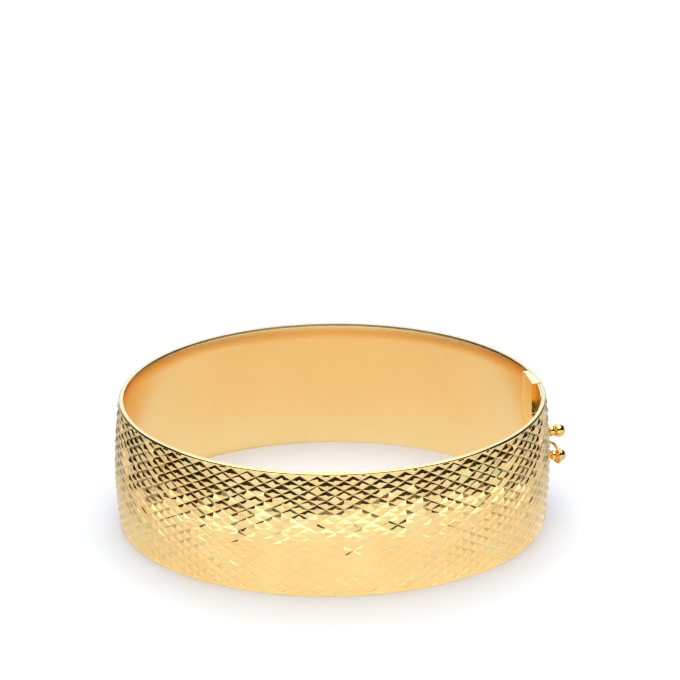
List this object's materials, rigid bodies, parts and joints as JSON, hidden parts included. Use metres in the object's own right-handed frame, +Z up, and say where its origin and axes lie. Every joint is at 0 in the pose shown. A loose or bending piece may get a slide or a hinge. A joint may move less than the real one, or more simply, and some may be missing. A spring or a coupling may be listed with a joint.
{
  "type": "hinged bangle bracelet",
  "caption": "Oval hinged bangle with a domed, diamond-cut outer face, a smooth inside, a box clasp worked by a ball-headed push piece, and a wire safety catch over a ball stud.",
  "frame": {"origin": "under the middle of the whole object's box, in the plane of the bottom rim that it stands on; the centre of the oval is 1.34 mm from it towards -X, because the push piece and the catch stand out at +X", "axes": "+X to the clasp along the oval's long axis, -X to the hinge, -Y to the front half, +Y to the back half, +Z up across the width of the band"},
  "size_m": [0.0683, 0.056, 0.02],
  "materials": {
    "diamond_cut_gold": "yellow gold, cut all over in rows of small bright lozenge facets",
    "polished_gold": "yellow gold, smooth bright polish",
    "burnished_gold": "yellow gold, turned and burnished to a mirror",
    "gold_wire": "yellow gold drawn wire, polished",
    "hinge_gold": "yellow gold tube and wire, filed and polished",
    "spring_gold": "hard rolled yellow gold sheet, satin from the rollers"
  },
  "bodies": {
    "back_half": {"back_outer_shell": "diamond_cut_gold", "back_inner_liner": "polished_gold", "back_hinge_block": "polished_gold", "back_knuckle_bottom": "hinge_gold", "back_knuckle_middle": "hinge_gold", "back_knuckle_top": "hinge_gold", "hinge_pin": "hinge_gold", "catch_box_shell": "polished_gold", "catch_box_mouth": "polished_gold", "catch_box_bulkhead": "polished_gold", "safety_hinge_tube": "burnished_gold"},
    "front_half": {"front_outer_shell": "diamond_cut_gold", "front_inner_liner": "polished_gold", "front_hinge_block": "polished_gold", "front_knuckle_lower": "hinge_gold", "front_knuckle_upper": "hinge_gold", "tongue_block": "polished_gold", "tongue_lower_leaf": "spring_gold", "catch_stud": "burnished_gold"},
    "tongue_spring": {"tongue_upper_leaf": "spring_gold", "push_piece": "burnished_gold"},
    "safety_catch": {"safety_loop": "gold_wire"}
  },
  "joints": [
    {"name": "main_hinge", "type": "hinge", "parent": "back_half", "child": "front_half", "pos_m": [-0.03321, 0, 0.01], "axis": [0, 0, -1], "range_deg": [0, 60]},
    {"name": "push_release", "type": "slide", "parent": "front_half", "child": "tongue_spring", "axis": [-0.9976, -0.069, 0], "range_m": [0, 0.00025], "stiffness_N_per_m": 4000, "springref_m": -0.0001},
    {"name": "safety_swing", "type": "hinge", "parent": "back_half", "child": "safety_catch", "pos_m": [0.0309, 0.00714, 0.009], "axis": [0, 0, 1], "range_deg": [0, 110]}
  ]
}
